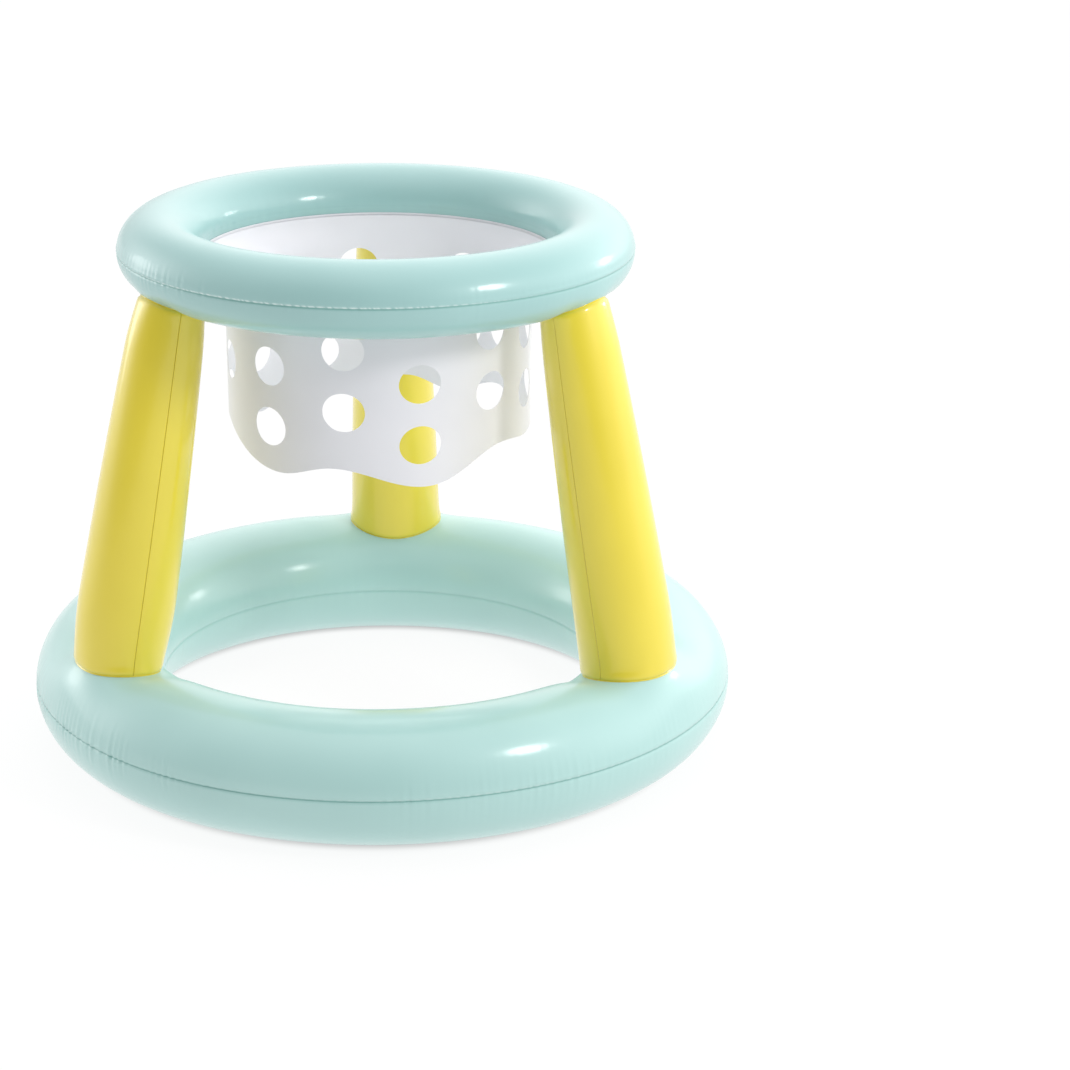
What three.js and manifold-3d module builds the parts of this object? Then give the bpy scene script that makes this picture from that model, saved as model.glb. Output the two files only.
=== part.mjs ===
// A free-standing inflatable basketball hoop for the edge of a pool, in millimetres with +Z up.
// Every chamber is made as the real one is, from sheets of thin PVC film welded along their seams.
// The origin is on the floor, on the axis of both rings, and the rear leg stands on +Y.
import * as THREE from "three";
import { mergeVertices } from "three/addons/utils/BufferGeometryUtils.js";
import Module from "manifold-3d";

const wasm = await Module();
wasm.setup();

const degree = Math.PI / 180;
const fullTurn = 2 * Math.PI;
const halfTurn = Math.PI;
const quarterTurn = Math.PI / 2;

// Film, fits and facets
const film = 0.3;
const clearance = 0.3;
const seamMargin = 4;
const cutOverrun = 3;
const weldDistance = 0.001;
const ringSides = 42;
const roundSides = 16;

// Base ring: an oval tube, lower under its seams than over them, that stands on a flat band
const baseRing = {
  pathRadius: 273.5,
  halfWidth: 61.5,
  halfHeight: 63,
  lowerHalfHeight: 57.5,
  centreHeight: 57,
  outerSeamRise: 5.4,
  halfSectionSteps: 8,
};

// Hoop ring
const hoopRing = {
  pathRadius: 203,
  halfWidth: 36.5,
  halfHeight: 34.5,
  lowerHalfHeight: 34.5,
  centreHeight: 479.4,
  outerSeamRise: 0,
  halfSectionSteps: 6,
};

// Legs: one straight tube each, leaning in, with its feet drawn in where it is welded to the rings
const legAzimuths = { left: 210, right: 330, rear: 90 };
const legFootRise = 51.8;
const legFootOffset = 2.3;
const legHeadDrop = 26.6;
const legHeadOffset = 6.6;
const legFootMargin = 15.1;
const legHeadMargin = 3.6;
const legMiddleSwell = 1.75;
const footNeck = 3.6;
const footNeckLength = 34;
const headNeck = 2.6;
const headNeckLength = 26;
const legEndShare = 0.1;
const legSeamTurn = -6;
const panelSides = 8;
const panelSteps = 6;
const collarSides = 24;
const collarThickness = 0.8;
const footCollarLap = 3;
const headCollarLap = 1.2;
const collarInnerLap = 2.5;
const collarFloorShare = 0.25;
const portRadius = 12;

// Net: one band of thicker film, round where it is welded in and oval below
const netFilm = 0.4;
const netStripHeight = 8;
const netStripThickness = 0.5;
const netTopDrop = 9.2;
const netWaistDrop = 35.4;
const netSideInset = 23;
const netFrontInset = 3.5;
const netLongDepth = 174.4;
const netShortDepth = 154.4;
const netHoleRadius = 18.6;
const netHoleToLongHem = 40;
const netHoleToShortHem = 53.6;
const netRowPitch = 56.6;
const netHoleSides = 10;
const netSteps = 4;
const netTapeWidth = 10;

// Hole columns round the net: place as a share of a turn from the front towards the right side, and lift
// from 0, a low column, to 1, a high one. They take turns, and the hem rises and falls with them.
const netColumns = [
  [-0.195, 1.4],
  [-0.113, 0.1],
  [-0.0268, 0.8],
  [0.0506, -0.1],
  [0.134, 1.05],
  [0.206, 0.55],
  [0.272, 1],
  [0.34, 0],
  [0.409, 0.9],
  [0.467, 0],
  [0.533, 0.87],
  [0.601, 0],
  [0.669, 1],
  [0.737, 0],
].map(([turnShare, lift]) => ({ turnShare, lift }));

// Valves: a socket welded to the film, a stem that pushes in, a check flap and a tethered cap
const valvePlaces = {
  base: { ring: baseRing, azimuth: 62, tubeAngle: 30 },
  hoop: { ring: hoopRing, azimuth: 122, tubeAngle: 22 },
};
const valveStemRadius = 5.8;
const valveBoreRadius = 3.5;
const valveSocketWall = 1;
const valveSocketDepth = 6;
const valveSocketRise = 2;
const valveFlangeRadius = 15;
const valveFlangeThickness = 0.8;
const valveRimWidth = 1.6;
const valveRimThickness = 1.2;
const valveTravel = 10;
const valveHingeReach = 8.4;
const valveCapRadius = 6.6;
const valveCapThickness = 1.2;
const valvePlugDepth = 4;
const valvePlugTopRadius = 3;
const valvePlugTipRadius = 2.3;
const valveTabWidth = 4;
const valveTabThickness = 0.8;
const valvePullReach = 2.6;
const valveFlapRadius = 4.6;
const valveFlapThickness = 0.6;
const valveFlapHingeReach = 6.2;

function filmMaterial(colour, roughness) {
  return new THREE.MeshStandardMaterial({ color: colour, roughness, metalness: 0 });
}

const finishes = {
  ring: filmMaterial(0xa9d8ce, 0.28),
  leg: filmMaterial(0xe9dc4e, 0.32),
  net: filmMaterial(0xdcdcdc, 0.5),
  valve: filmMaterial(0xf0f0ee, 0.4),
};

function named(name, geometry, finish) {
  const mesh = new THREE.Mesh(geometry, finishes[finish].clone());
  mesh.name = name;
  return mesh;
}

// Booleans: a closed geometry to a solid and back
function solidOf(geometry) {
  const bare = geometry.clone();
  bare.deleteAttribute("normal");
  bare.deleteAttribute("uv");
  const merged = mergeVertices(bare, weldDistance);
  const triVerts = new Uint32Array(merged.index.array);
  const vertProperties = merged.attributes.position.array;
  return new wasm.Manifold(new wasm.Mesh({ numProp: 3, vertProperties, triVerts }));
}

function geometryOf(solid) {
  const { vertProperties, triVerts, numProp, numVert } = solid.getMesh();
  const corners = new Float32Array(numVert * 3);
  for (let i = 0; i < numVert; i++) {
    corners.set(vertProperties.subarray(i * numProp, i * numProp + 3), i * 3);
  }
  return new THREE.BufferGeometry()
    .setAttribute("position", new THREE.BufferAttribute(corners, 3))
    .setIndex(new THREE.BufferAttribute(triVerts, 1));
}

// A profile of (radius, height) points turned round +Z
function turned(points, sides) {
  return new THREE.LatheGeometry(points, sides).rotateX(quarterTurn);
}

function closedTurned(points, sides) {
  return turned([...points, points[0]], sides);
}

// A point on a ring's oval section: 0 is its outer side, 90 degrees its top and 180 its inner side
function sectionPoint(ring, angle, inset) {
  const halfHeight = Math.sin(angle) < 0 ? ring.lowerHalfHeight : ring.halfHeight;
  return new THREE.Vector2(
    ring.pathRadius + (ring.halfWidth - inset) * Math.cos(angle),
    ring.centreHeight + (halfHeight - inset) * Math.sin(angle),
  );
}

function sectionArc(ring, from, to, steps, inset) {
  return Array.from({ length: steps + 1 }, (_, i) =>
    sectionPoint(ring, THREE.MathUtils.lerp(from, to, i / steps), inset),
  );
}

// Half the angle of the flat band that a ring lower than its own lower half stands on
function contactAngle(ring) {
  const sinks = ring.centreHeight < ring.lowerHalfHeight;
  return sinks ? Math.acos(ring.centreHeight / ring.lowerHalfHeight) : 0;
}

// The lower half of a section, from its outer seam down and round to its inner side
function lowerArc(ring, from, to, inset) {
  const contact = contactAngle(ring);
  if (contact === 0) return sectionArc(ring, from, to, ring.halfSectionSteps, inset);
  const steps = ring.halfSectionSteps / 2;
  return [
    ...sectionArc(ring, from, contact - quarterTurn, steps, inset),
    ...sectionArc(ring, -contact - quarterTurn, to, steps, inset),
  ];
}

// One sheet of a ring: its film, with a weld margin turned in along both seams
function ringSheet(ring, isUpper) {
  const side = isUpper ? 1 : -1;
  const seamAngle = (rise, inset) => {
    const level = rise + side * inset;
    return Math.asin(level / ((level < 0 ? ring.lowerHalfHeight : ring.halfHeight) - inset));
  };
  const arc = isUpper
    ? (from, to, inset) => sectionArc(ring, from, to, ring.halfSectionSteps, inset)
    : (from, to, inset) => lowerArc(ring, from, to, inset);
  const outside = arc(seamAngle(ring.outerSeamRise, 0), side * halfTurn, 0);
  const inside = arc(
    seamAngle(ring.outerSeamRise, film),
    side * halfTurn - seamAngle(0, film),
    film,
  ).reverse();
  const outerSeam = outside[0];
  const innerSeam = outside.at(-1);
  const marginLine = (seam, reach, level) => new THREE.Vector2(seam.x + reach, seam.y + side * level);
  const profile = [
    ...outside,
    marginLine(innerSeam, seamMargin, 0),
    marginLine(innerSeam, seamMargin, film),
    ...inside,
    marginLine(outerSeam, -seamMargin, film),
    marginLine(outerSeam, -seamMargin, 0),
  ];
  return closedTurned(isUpper ? profile : profile.reverse(), ringSides);
}

// A whole ring, filled, grown past its film: what rests on the film is cut to it
function ringBody(ring, growth) {
  const seam = Math.asin(ring.outerSeamRise / ring.halfHeight);
  const upper = sectionArc(ring, seam, halfTurn, ring.halfSectionSteps, -growth);
  const lower = lowerArc(ring, seam, -halfTurn, -growth).reverse();
  return solidOf(closedTurned([...upper, ...lower.slice(1, -1)], ringSides));
}

// A thin wall between an outer and an inner surface. pointAt gives a point for a place across and along.
function wall(across, along, pointAt, wraps) {
  const columns = wraps ? across : across + 1;
  const corners = [];
  for (const isInner of [false, true]) {
    for (let j = 0; j <= along; j++) {
      for (let i = 0; i < columns; i++) corners.push(...pointAt(i / across, j / along, isInner));
    }
  }
  const index = [];
  const corner = (i, j, layer) => (layer * (along + 1) + j) * columns + (i % columns);
  const quad = (a, b, c, d) => index.push(a, b, c, a, c, d);
  for (let i = 0; i < across; i++) {
    for (let j = 0; j < along; j++) {
      quad(corner(i, j, 0), corner(i + 1, j, 0), corner(i + 1, j + 1, 0), corner(i, j + 1, 0));
      quad(corner(i, j, 1), corner(i, j + 1, 1), corner(i + 1, j + 1, 1), corner(i + 1, j, 1));
    }
    quad(corner(i, 0, 1), corner(i + 1, 0, 1), corner(i + 1, 0, 0), corner(i, 0, 0));
    quad(corner(i, along, 0), corner(i + 1, along, 0), corner(i + 1, along, 1), corner(i, along, 1));
  }
  for (let j = 0; j < along && !wraps; j++) {
    quad(corner(0, j, 0), corner(0, j + 1, 0), corner(0, j + 1, 1), corner(0, j, 1));
    quad(corner(across, j, 1), corner(across, j + 1, 1), corner(across, j + 1, 0), corner(across, j, 0));
  }
  return new THREE.BufferGeometry()
    .setAttribute("position", new THREE.Float32BufferAttribute(corners, 3))
    .setIndex(index);
}

// Legs

const legFoot = new THREE.Vector2(baseRing.pathRadius + legFootOffset, baseRing.centreHeight + legFootRise);
const legHead = new THREE.Vector2(hoopRing.pathRadius + legHeadOffset, hoopRing.centreHeight - legHeadDrop);

function legPoint(azimuth, share) {
  const radius = THREE.MathUtils.lerp(legFoot.x, legHead.x, share);
  const height = THREE.MathUtils.lerp(legFoot.y, legHead.y, share);
  return new THREE.Vector3(radius * Math.cos(azimuth), radius * Math.sin(azimuth), height);
}

// The leg's own frame: X points away from the hoop's axis, Y along the ring and Z up the leg
function legFrame(azimuth) {
  const up = legPoint(azimuth, 1).sub(legPoint(azimuth, 0)).normalize();
  const along = new THREE.Vector3(-Math.sin(azimuth), Math.cos(azimuth), 0);
  const away = new THREE.Vector3().crossVectors(along, up);
  return new THREE.Matrix4().makeBasis(away, along, up).setPosition(legPoint(azimuth, 0));
}

const legLength = legPoint(0, 1).distanceTo(legPoint(0, 0));
const legWidthAtFoot = baseRing.halfWidth - legFootMargin;
const legWidthAtHead = hoopRing.halfWidth - legHeadMargin;

function neckedIn(depth, distance, length) {
  return depth * THREE.MathUtils.clamp(1 - distance / length, 0, 1) ** 2;
}

function legWidth(share) {
  const swell = 4 * legMiddleSwell * share * (1 - share);
  const width = THREE.MathUtils.lerp(legWidthAtFoot, legWidthAtHead, share) + swell;
  const toFoot = neckedIn(footNeck, share * legLength, footNeckLength);
  const toHead = neckedIn(headNeck, (1 - share) * legLength, headNeckLength);
  return width - toFoot - toHead;
}

function legPanel(azimuth, isOuter) {
  const frame = legFrame(azimuth);
  const start = legSeamTurn * degree + (isOuter ? -quarterTurn : quarterTurn);
  const pointAt = (acrossShare, alongShare, isInner) => {
    const share = THREE.MathUtils.lerp(-legEndShare, 1 + legEndShare, alongShare);
    const radius = legWidth(share) - (isInner ? film : 0);
    const seamGap = clearance / 2 / radius;
    const angle = start + THREE.MathUtils.lerp(seamGap, halfTurn - seamGap, acrossShare);
    const point = new THREE.Vector3(radius * Math.cos(angle), radius * Math.sin(angle), share * legLength);
    return point.applyMatrix4(frame);
  };
  const panel = solidOf(wall(panelSides, panelSteps, pointAt, false));
  const seat = clearance + collarThickness + clearance;
  return geometryOf(panel.subtract(ringBody(baseRing, seat)).subtract(ringBody(hoopRing, seat)));
}

// A saddle of film between a leg's end and the ring it is welded to, open in its middle for the air
function weldCollar(azimuth, ring, endShare, outerLap) {
  const width = legWidth(endShare);
  const reach = ring.halfWidth;
  const outer = width + outerLap;
  const inner = width - collarInnerLap;
  const tube = closedTurned(
    [
      new THREE.Vector2(inner, -reach),
      new THREE.Vector2(outer, -reach),
      new THREE.Vector2(outer, reach),
      new THREE.Vector2(inner, reach),
    ],
    collarSides,
  );
  tube.translate(0, 0, endShare * legLength).applyMatrix4(legFrame(azimuth));
  const skin = ringBody(ring, clearance + collarThickness).subtract(ringBody(ring, clearance));
  const facing = ring === baseRing ? 1 : -1;
  const nearSide = new THREE.BoxGeometry(4 * ring.pathRadius, 4 * ring.pathRadius, 2 * ring.halfHeight);
  const rise = (1 + collarFloorShare) * ring.halfHeight;
  nearSide.translate(0, 0, ring.centreHeight + facing * rise);
  return geometryOf(solidOf(tube).intersect(skin).intersect(solidOf(nearSide)));
}

function legParts(side) {
  const azimuth = legAzimuths[side] * degree;
  return [
    named(side + "_leg_outer_panel", legPanel(azimuth, true), "leg"),
    named(side + "_leg_inner_panel", legPanel(azimuth, false), "leg"),
    named(side + "_leg_foot_collar", weldCollar(azimuth, baseRing, 0, footCollarLap), "leg"),
    named(side + "_leg_head_collar", weldCollar(azimuth, hoopRing, 1, headCollarLap), "leg"),
  ];
}

// Net

// The film's inner side of the hoop ring at a height
function hoopMouthRadius(height) {
  const share = (height - hoopRing.centreHeight) / hoopRing.halfHeight;
  return hoopRing.pathRadius - hoopRing.halfWidth * Math.sqrt(1 - share ** 2);
}

const netTopHeight = hoopRing.centreHeight - netTopDrop;
const netWaistHeight = netTopHeight - netWaistDrop;
const netHalfWidth = hoopRing.pathRadius - hoopRing.halfWidth - netSideInset;
const netHalfDepth = hoopRing.pathRadius - hoopRing.halfWidth - netFrontInset;
const hemLowHeight = netTopHeight - netLongDepth;
const hemHighHeight = netTopHeight - netShortDepth;
const netLowHoleHeight = hemLowHeight + netHoleToLongHem;
const netHighHoleHeight = hemHighHeight + netHoleToShortHem;
const netStripInset = clearance + netStripThickness;
const netTopRadius = hoopMouthRadius(netTopHeight) - netStripInset - clearance;

// The net's outline at a height: a circle at the weld that draws in to an oval
function netPoint(turnShare, height, inset) {
  const angle = turnShare * fullTurn;
  const drop = THREE.MathUtils.smoothstep(netTopHeight - height, 0, netTopHeight - netWaistHeight);
  const halfWidth = THREE.MathUtils.lerp(netTopRadius, netHalfWidth, drop) - inset;
  const halfDepth = THREE.MathUtils.lerp(netTopRadius, netHalfDepth, drop) - inset;
  return new THREE.Vector3(halfWidth * Math.sin(angle), -halfDepth * Math.cos(angle), height);
}

// The hem's height between two columns runs from the one's to the other's in a smooth wave
function hemHeight(turnShare) {
  const count = netColumns.length;
  const first = netColumns[0].turnShare;
  const place = first + THREE.MathUtils.euclideanModulo(turnShare - first, 1);
  const next = netColumns.findIndex((column) => column.turnShare > place);
  const right = next < 0 ? count : next;
  const from = netColumns[right - 1];
  const to = netColumns[right % count];
  const width = (right < count ? to.turnShare : first + 1) - from.turnShare;
  const blend = (1 - Math.cos(((place - from.turnShare) / width) * Math.PI)) / 2;
  return THREE.MathUtils.lerp(hemLowHeight, hemHighHeight, THREE.MathUtils.lerp(from.lift, to.lift, blend));
}

// A straight cutter through the net's wall at one hole
function holeCutter(turnShare, height) {
  const centre = netPoint(turnShare, height, 0);
  const angle = turnShare * fullTurn;
  const normal = new THREE.Vector3(Math.sin(angle) / netHalfWidth, -Math.cos(angle) / netHalfDepth, 0);
  const cutter = new THREE.CylinderGeometry(
    netHoleRadius,
    netHoleRadius,
    netHoleRadius + cutOverrun,
    netHoleSides,
  );
  const toNormal = new THREE.Quaternion().setFromUnitVectors(
    new THREE.Vector3(0, 1, 0),
    normal.normalize(),
  );
  return solidOf(cutter.applyQuaternion(toNormal).translate(centre.x, centre.y, centre.z));
}

function netBand() {
  const pointAt = (acrossShare, alongShare, isInner) => {
    const aboveWaistShare = (alongShare * netSteps - 1) / (netSteps - 1);
    const height = THREE.MathUtils.lerp(netWaistHeight, netTopHeight, aboveWaistShare);
    return netPoint(acrossShare, alongShare ? height : hemHeight(acrossShare), isInner ? netFilm : 0);
  };
  let band = solidOf(wall(ringSides, netSteps, pointAt, true));
  for (const { turnShare, lift } of netColumns) {
    const lowest = THREE.MathUtils.lerp(netLowHoleHeight, netHighHoleHeight, lift);
    for (const height of [lowest, lowest + netRowPitch]) {
      band = band.subtract(holeCutter(turnShare, height));
    }
  }
  return geometryOf(band);
}

// The strip that welds the net's top edge to the inner side of the hoop ring
function netWeldStrip() {
  const heights = [netTopHeight - netStripHeight, netTopHeight];
  const line = (inset) =>
    heights.map((height) => new THREE.Vector2(hoopMouthRadius(height) - inset, height));
  return closedTurned([...line(netStripInset), ...line(clearance).reverse()].reverse(), ringSides);
}

// The tape over the net's upright seam at the back
function netSeamTape() {
  const halfShare = netTapeWidth / 2 / (fullTurn * netHalfDepth);
  const seamShare = 0.5;
  const pointAt = (acrossShare, alongShare, isInner) => {
    const turnShare = seamShare + THREE.MathUtils.lerp(-halfShare, halfShare, acrossShare);
    const bottom = hemHeight(seamShare) + netTapeWidth;
    const top = netTopHeight - netStripHeight - netTapeWidth;
    const outset = clearance + (isInner ? 0 : netFilm);
    return netPoint(turnShare, THREE.MathUtils.lerp(bottom, top, alongShare), -outset);
  };
  return wall(1, 2 * netSteps, pointAt, false);
}

// Valves

// The valve's own frame: its origin on the film, Z out along the stem and X round the ring
function valveFrame({ ring, azimuth, tubeAngle }) {
  const angle = tubeAngle * degree;
  const place = sectionPoint(ring, angle, 0);
  const away = new THREE.Vector3(Math.cos(azimuth * degree), Math.sin(azimuth * degree), 0);
  const up = new THREE.Vector3(0, 0, 1);
  const out = away.clone().multiplyScalar(Math.cos(angle) / ring.halfWidth);
  out.addScaledVector(up, Math.sin(angle) / ring.halfHeight).normalize();
  const round = new THREE.Vector3().crossVectors(up, away);
  const across = new THREE.Vector3().crossVectors(out, round);
  const centre = away.multiplyScalar(place.x).addScaledVector(up, place.y);
  return new THREE.Matrix4().makeBasis(round, across, out).setPosition(centre);
}

const socketBoreRadius = valveStemRadius + clearance;
const socketRadius = socketBoreRadius + valveSocketWall;
const rimRadius = valveStemRadius + valveRimWidth;
const stemSeat = valveSocketRise + clearance;
const stemTop = stemSeat + valveRimThickness;
const stemBeadTop = -valveSocketDepth - clearance - valveTravel;
const stemBottom = stemBeadTop - valveRimThickness;
const capSeat = stemTop + clearance;

function ringProfile(inner, outer, bottom, top) {
  return [
    new THREE.Vector2(inner, bottom),
    new THREE.Vector2(outer, bottom),
    new THREE.Vector2(outer, top),
    new THREE.Vector2(inner, top),
  ];
}

function valveSocket(place) {
  const frame = valveFrame(place);
  const reach = valveFlangeRadius;
  const plate = closedTurned(ringProfile(socketBoreRadius, valveFlangeRadius, -reach, reach), roundSides);
  const skin = ringBody(place.ring, clearance + valveFlangeThickness).subtract(
    ringBody(place.ring, clearance),
  );
  const flange = solidOf(plate.applyMatrix4(frame)).intersect(skin);
  const tube = closedTurned(
    ringProfile(socketBoreRadius, socketRadius, -valveSocketDepth, valveSocketRise),
    roundSides,
  );
  return geometryOf(solidOf(tube.applyMatrix4(frame)).add(flange));
}

function filmHole(place) {
  const radius = socketRadius + clearance;
  const cutter = new THREE.CylinderGeometry(radius, radius, 2 * valveFlangeRadius, roundSides);
  return solidOf(cutter.rotateX(quarterTurn).applyMatrix4(valveFrame(place)));
}

function tab(from, to, bottom, top) {
  const plate = new THREE.BoxGeometry(to - from, valveTabWidth, top - bottom);
  return solidOf(plate.translate((from + to) / 2, 0, (bottom + top) / 2));
}

function valveStem() {
  const profile = [
    new THREE.Vector2(valveBoreRadius, stemBottom),
    new THREE.Vector2(rimRadius, stemBottom),
    new THREE.Vector2(rimRadius, stemBeadTop),
    new THREE.Vector2(valveStemRadius, stemBeadTop),
    new THREE.Vector2(valveStemRadius, stemSeat),
    new THREE.Vector2(rimRadius, stemSeat),
    new THREE.Vector2(rimRadius, stemTop),
    new THREE.Vector2(valveBoreRadius, stemTop),
  ];
  const hingeLug = tab(-valveHingeReach, -valveStemRadius, stemSeat, stemTop);
  return geometryOf(solidOf(closedTurned(profile, roundSides)).add(hingeLug));
}

function valveCap() {
  const profile = [
    new THREE.Vector2(0, stemTop - valvePlugDepth),
    new THREE.Vector2(valvePlugTipRadius, stemTop - valvePlugDepth),
    new THREE.Vector2(valvePlugTopRadius, capSeat),
    new THREE.Vector2(valveCapRadius, capSeat),
    new THREE.Vector2(valveCapRadius, capSeat + valveCapThickness),
    new THREE.Vector2(0, capSeat + valveCapThickness),
  ];
  const tabTop = capSeat + valveTabThickness;
  const hingeTab = tab(-valveHingeReach, -valvePlugTopRadius, capSeat, tabTop);
  const pullTab = tab(valvePlugTopRadius, valveCapRadius + valvePullReach, capSeat, tabTop);
  return geometryOf(solidOf(turned(profile, roundSides)).add(hingeTab).add(pullTab));
}

function valveFlap() {
  const top = stemBottom - clearance;
  const bottom = top - valveFlapThickness;
  const profile = [
    new THREE.Vector2(0, bottom),
    new THREE.Vector2(valveFlapRadius, bottom),
    new THREE.Vector2(valveFlapRadius, top),
    new THREE.Vector2(0, top),
  ];
  return geometryOf(solidOf(turned(profile, roundSides)).add(tab(0, valveFlapHingeReach, bottom, top)));
}

function valveParts(name) {
  const place = valvePlaces[name];
  const fitted = new THREE.Group();
  fitted.applyMatrix4(valveFrame(place));
  fitted.add(
    named(name + "_valve_stem", valveStem(), "valve"),
    named(name + "_valve_flap", valveFlap(), "valve"),
    named(name + "_valve_cap", valveCap(), "valve"),
  );
  return [named(name + "_valve_socket", valveSocket(place), "valve"), fitted];
}

// Ring sheets with their valve holes and the ports that let the air into the legs

function legPort(azimuth) {
  const cutter = new THREE.CylinderGeometry(portRadius, portRadius, baseRing.halfHeight, roundSides);
  return solidOf(cutter.rotateX(quarterTurn).applyMatrix4(legFrame(azimuth)));
}

function baseUpperSheet() {
  let sheet = solidOf(ringSheet(baseRing, true)).subtract(filmHole(valvePlaces.base));
  for (const azimuth of Object.values(legAzimuths)) sheet = sheet.subtract(legPort(azimuth * degree));
  return geometryOf(sheet);
}

function hoopUpperSheet() {
  return geometryOf(solidOf(ringSheet(hoopRing, true)).subtract(filmHole(valvePlaces.hoop)));
}

const hoop = new THREE.Group();
hoop.add(
  named("base_ring_upper_sheet", baseUpperSheet(), "ring"),
  named("base_ring_lower_sheet", ringSheet(baseRing, false), "ring"),
  named("hoop_ring_upper_sheet", hoopUpperSheet(), "ring"),
  named("hoop_ring_lower_sheet", ringSheet(hoopRing, false), "ring"),
  named("net_band", netBand(), "net"),
  named("net_weld_strip", netWeldStrip(), "net"),
  named("net_seam_tape", netSeamTape(), "net"),
);
for (const side of Object.keys(legAzimuths)) hoop.add(...legParts(side));
for (const name of Object.keys(valvePlaces)) hoop.add(...valveParts(name));

export default hoop;
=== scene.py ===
import math
import random

import bpy
import numpy as np
from mathutils import Matrix, Vector


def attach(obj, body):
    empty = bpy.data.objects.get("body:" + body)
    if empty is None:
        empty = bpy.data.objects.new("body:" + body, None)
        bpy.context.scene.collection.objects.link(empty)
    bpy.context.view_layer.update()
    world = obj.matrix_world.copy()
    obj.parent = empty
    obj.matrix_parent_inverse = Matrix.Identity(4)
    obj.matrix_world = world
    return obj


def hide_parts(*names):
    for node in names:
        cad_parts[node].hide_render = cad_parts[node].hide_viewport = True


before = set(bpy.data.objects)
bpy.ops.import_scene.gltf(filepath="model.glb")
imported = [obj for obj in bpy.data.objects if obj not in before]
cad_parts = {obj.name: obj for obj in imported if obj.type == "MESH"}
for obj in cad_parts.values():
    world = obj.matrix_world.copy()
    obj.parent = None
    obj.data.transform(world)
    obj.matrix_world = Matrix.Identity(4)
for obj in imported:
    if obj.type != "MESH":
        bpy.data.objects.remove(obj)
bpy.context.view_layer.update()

mm = 0.001
fullTurn = 2 * math.pi
halfTurn = math.pi
quarterTurn = math.pi / 2


# Small tools

def activate(piece):
    bpy.ops.object.select_all(action="DESELECT")
    piece.select_set(True)
    bpy.context.view_layer.objects.active = piece


def startEdit(piece, selected="DESELECT"):
    activate(piece)
    bpy.ops.object.mode_set(mode="EDIT")
    bpy.ops.mesh.select_mode(type="VERT")
    bpy.ops.mesh.select_all(action=selected)


def endEdit():
    bpy.ops.object.mode_set(mode="OBJECT")


def editPicked(piece, kind, isPicked):
    # enters edit mode with only the vertices, edges or faces that a test picks
    startEdit(piece)
    bpy.ops.mesh.select_mode(type=kind)
    endEdit()
    elements = {"VERT": piece.data.vertices, "EDGE": piece.data.edges, "FACE": piece.data.polygons}[kind]
    elements.foreach_set("select", [bool(isPicked(element)) for element in elements])
    bpy.ops.object.mode_set(mode="EDIT")


def isUpright(piece, edge, least):
    first, second = (piece.data.vertices[i].co for i in edge.vertices)
    return abs(first.z - second.z) > least


def readPlaces(piece):
    places = np.zeros(len(piece.data.vertices) * 3)
    piece.data.vertices.foreach_get("co", places)
    return places.reshape(-1, 3)


def writePlaces(piece, places):
    piece.data.vertices.foreach_set("co", np.ascontiguousarray(places, dtype=float).ravel())
    piece.data.update()


def applyPlace(piece):
    activate(piece)
    bpy.ops.object.transform_apply(location=True, rotation=True, scale=True)


def applyModifier(piece, kind, **settings):
    activate(piece)
    modifier = piece.modifiers.new(kind.capitalize(), kind)
    for name, value in settings.items():
        setattr(modifier, name, value)
    bpy.ops.object.modifier_apply(modifier=modifier.name)


def deleteFaces(piece, isUnwanted):
    # by where each face's centre is
    editPicked(piece, "FACE", lambda face: isUnwanted(face.center))
    bpy.ops.mesh.delete(type="FACE")
    endEdit()


def mergeDoubles(piece, distance=0.005 * mm):
    startEdit(piece, "SELECT")
    bpy.ops.mesh.remove_doubles(threshold=distance)
    endEdit()


def faceOutwards(piece):
    startEdit(piece, "SELECT")
    bpy.ops.mesh.normals_make_consistent(inside=False)
    endEdit()


def turnOverIf(piece, pointsOut):
    # an open sheet can come out either way round. pointsOut gives the outward direction at a place.
    lean = sum(f.area * f.normal.dot(pointsOut(f.center)) for f in piece.data.polygons)
    if lean < 0:
        startEdit(piece, "SELECT")
        bpy.ops.mesh.flip_normals()
        endEdit()


def shadeSmooth(piece, sharpest=35):
    activate(piece)
    bpy.ops.object.shade_smooth_by_angle(angle=math.radians(sharpest))


def roundEdges(piece, width, segments=2, sharpest=50):
    limit = {"limit_method": "ANGLE", "angle_limit": math.radians(sharpest)}
    applyModifier(piece, "BEVEL", width=width, segments=segments, **limit)
    shadeSmooth(piece)


def removePiece(piece):
    activate(piece)
    bpy.ops.object.delete()


def joinPieces(first, *others):
    activate(first)
    for other in others:
        other.select_set(True)
    bpy.ops.object.join()
    return first


def writeAttribute(piece, name, values):
    attribute = piece.data.attributes.new(name, "FLOAT", "POINT")
    attribute.data.foreach_set("value", np.ascontiguousarray(values, dtype=float))


def finishPiece(piece, name, material, body, nodes):
    piece.name = piece.data.name = name
    piece.data.materials.clear()
    piece.data.materials.append(material)
    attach(piece, body)
    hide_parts(*nodes)
    return piece


def ripple(angles, seed, slowest, fastest, count=12):
    # waves that close after a full turn, with a strength of about 1
    source = random.Random(seed)
    total = np.zeros_like(angles)
    for _ in range(count):
        total += np.cos(source.randint(slowest, fastest) * angles + source.uniform(0, fullTurn))
    return total / math.sqrt(count / 2)


def ridge(distance, width):
    return np.exp(-((distance / width) ** 2))


def apart(angle, other):
    return np.abs((angle - other + halfTurn) % fullTurn - halfTurn)


# Materials

def linearColour(hexText):
    channels = [int(hexText[i:i + 2], 16) / 255 for i in (1, 3, 5)]
    return [c / 12.92 if c <= 0.04045 else ((c + 0.055) / 1.055) ** 2.4 for c in channels] + [1]


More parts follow.
